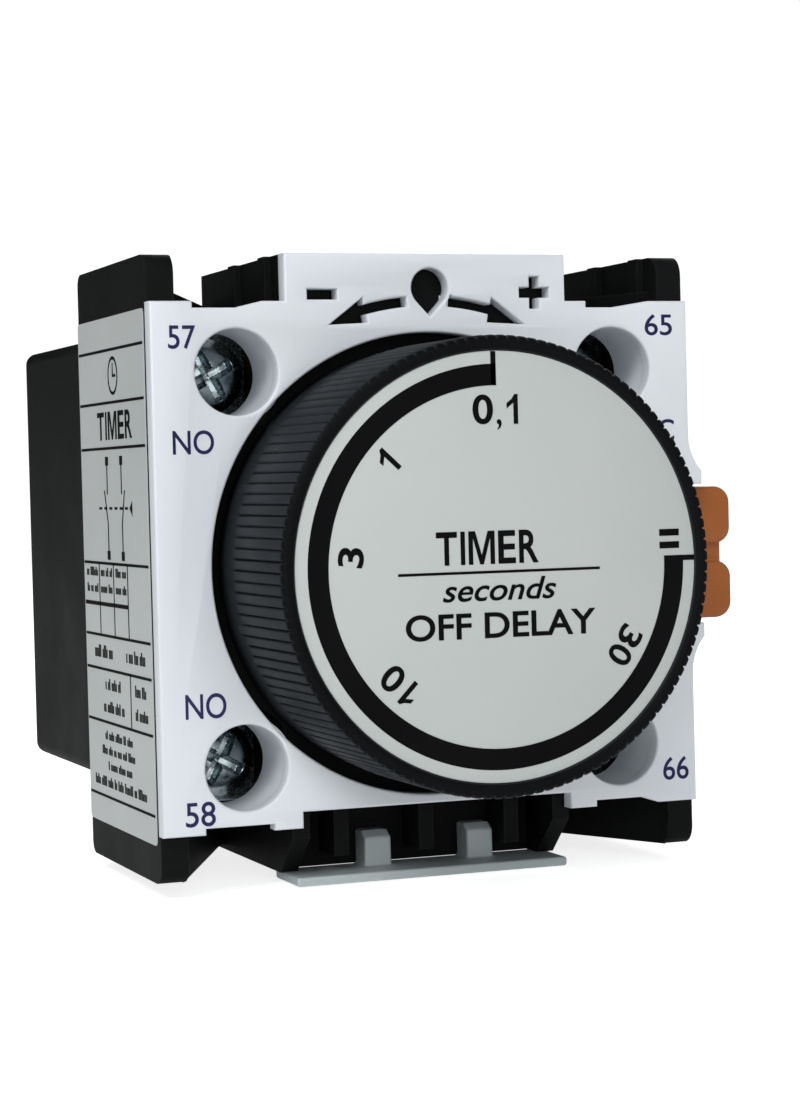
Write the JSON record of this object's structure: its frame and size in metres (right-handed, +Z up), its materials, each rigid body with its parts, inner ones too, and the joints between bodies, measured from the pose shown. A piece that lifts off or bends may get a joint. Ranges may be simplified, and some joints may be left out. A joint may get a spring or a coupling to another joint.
{
  "type": "pneumatic off-delay timer block",
  "caption": "Clip-on pneumatic off-delay timer block: knurled setting knob with dial, screw terminals behind guide holes, wire channels, side release latch, bellows and snap contacts.",
  "frame": {"origin": "on the setting knob's axis, in the plane of the rear face that rests on the contactor", "axes": "+Z up, the front with the knob faces -Y, +X to the right seen from the front"},
  "size_m": [0.0487, 0.0594, 0.048],
  "materials": {
    "black_housing": "fine spark-eroded black thermoplastic",
    "cover_white": "satin light grey thermoplastic",
    "label_film": "printed polyester film",
    "knob_black": "satin black thermoplastic",
    "dial_grey": "satin printed disc",
    "latch_orange": "satin orange-brown thermoplastic",
    "cream_plastic": "acetal",
    "grey_plastic": "glass-filled nylon",
    "zinc_steel": "zinc-plated steel",
    "spring_steel": "drawn spring wire",
    "brass_strip": "stamped brass",
    "copper_bridge": "stamped copper alloy",
    "silver_tip": "silver alloy",
    "rubber_black": "moulded rubber",
    "felt_pad": "pressed felt"
  },
  "bodies": {
    "housing": {"rear_housing": "black_housing", "front_housing": "black_housing", "front_cover": "cover_white", "bottom_clip_plate": "cover_white", "rating_label": "label_film", "timing_head": "cream_plastic", "filter_pad": "felt_pad", "check_valve": "rubber_black", "assembly_screws": "zinc_steel", "latch_pin": "zinc_steel", "latch_spring": "spring_steel", "fixed_contact_57": "brass_strip", "fixed_contact_58": "brass_strip", "fixed_contact_65": "brass_strip", "fixed_contact_66": "brass_strip", "fixed_contact_tips": "silver_tip", "terminal_nuts": "zinc_steel", "rocker_pin": "zinc_steel", "return_spring": "spring_steel", "snap_spring": "spring_steel", "bellows": "rubber_black", "bellows_spring": "spring_steel"},
    "setting_knob": {"knob": "knob_black", "dial_plate": "dial_grey", "knob_spindle": "zinc_steel", "metering_disc": "brass_strip", "spindle_clip": "spring_steel", "knob_spring": "spring_steel"},
    "drive": {"drive_slider": "grey_plastic"},
    "rocker": {"reversing_rocker": "grey_plastic"},
    "plunger": {"bellows_plunger": "cream_plastic"},
    "carrier": {"contact_carrier": "grey_plastic", "bridge_contact_no": "copper_bridge", "bridge_contact_nc": "copper_bridge", "bridge_tips": "silver_tip", "contact_springs": "spring_steel"},
    "latch": {"release_latch": "latch_orange"},
    "clamp_57": {"clamp_washer_57": "zinc_steel"},
    "screw_57": {"terminal_screw_57": "zinc_steel"},
    "clamp_58": {"clamp_washer_58": "zinc_steel"},
    "screw_58": {"terminal_screw_58": "zinc_steel"},
    "clamp_65": {"clamp_washer_65": "zinc_steel"},
    "screw_65": {"terminal_screw_65": "zinc_steel"},
    "clamp_66": {"clamp_washer_66": "zinc_steel"},
    "screw_66": {"terminal_screw_66": "zinc_steel"}
  },
  "joints": [
    {"name": "time_setting", "type": "hinge", "parent": "housing", "child": "setting_knob", "pos_m": [0, -0.042, 0], "axis": [0, 1, 0], "range_deg": [0, 270]},
    {"name": "drive_slide", "type": "slide", "parent": "housing", "child": "drive", "axis": [0, 1, 0], "range_m": [0, 0.004], "stiffness_N_per_m": 400, "springref_m": -0.002, "deforming": ["return_spring"]},
    {"name": "rocker_turn", "type": "hinge", "parent": "housing", "child": "rocker", "pos_m": [0, -0.0247, 0], "axis": [-1, 0, 0], "range_deg": [0, 31.9]},
    {"name": "plunger_slide", "type": "slide", "parent": "housing", "child": "plunger", "axis": [0, -1, 0], "range_m": [0, 0.00301], "deforming": ["bellows", "bellows_spring"]},
    {"name": "carrier_slide", "type": "slide", "parent": "housing", "child": "carrier", "axis": [0, -1, 0], "range_m": [0, 0.00301], "deforming": ["snap_spring"]},
    {"name": "latch_press", "type": "hinge", "parent": "housing", "child": "latch", "pos_m": [0.02093, -0.022, 0], "axis": [0, 0, -1], "range_deg": [0, 5], "stiffness_Nm_per_rad": 0.05, "springref_deg": -5.73, "deforming": ["latch_spring"]},
    {"name": "clamp_57_close", "type": "slide", "parent": "housing", "child": "clamp_57", "axis": [0, 1, 0], "range_m": [0, 0.0024]},
    {"name": "screw_57_turn", "type": "hinge", "parent": "clamp_57", "child": "screw_57", "pos_m": [-0.0154, -0.035, 0.0148], "axis": [0, 1, 0], "range_deg": [0, 1440]},
    {"name": "clamp_58_close", "type": "slide", "parent": "housing", "child": "clamp_58", "axis": [0, 1, 0], "range_m": [0, 0.0024]},
    {"name": "screw_58_turn", "type": "hinge", "parent": "clamp_58", "child": "screw_58", "pos_m": [-0.0154, -0.035, -0.0148], "axis": [0, 1, 0], "range_deg": [0, 1440]},
    {"name": "clamp_65_close", "type": "slide", "parent": "housing", "child": "clamp_65", "axis": [0, 1, 0], "range_m": [0, 0.0024]},
    {"name": "screw_65_turn", "type": "hinge", "parent": "clamp_65", "child": "screw_65", "pos_m": [0.0154, -0.035, 0.0148], "axis": [0, 1, 0], "range_deg": [0, 1440]},
    {"name": "clamp_66_close", "type": "slide", "parent": "housing", "child": "clamp_66", "axis": [0, 1, 0], "range_m": [0, 0.0024]},
    {"name": "screw_66_turn", "type": "hinge", "parent": "clamp_66", "child": "screw_66", "pos_m": [0.0154, -0.035, -0.0148], "axis": [0, 1, 0], "range_deg": [0, 1440]}
  ],
  "couplings": [
    {"joint": "rocker_turn", "follows": "drive_slide", "rad_per_m": 138.89},
    {"joint": "plunger_slide", "follows": "drive_slide", "ratio": 0.75},
    {"joint": "carrier_slide", "follows": "drive_slide", "ratio": 0.75},
    {"joint": "screw_57_turn", "follows": "clamp_57_close", "rad_per_m": 10472},
    {"joint": "screw_58_turn", "follows": "clamp_58_close", "rad_per_m": 10472},
    {"joint": "screw_65_turn", "follows": "clamp_65_close", "rad_per_m": 10472},
    {"joint": "screw_66_turn", "follows": "clamp_66_close", "rad_per_m": 10472}
  ]
}
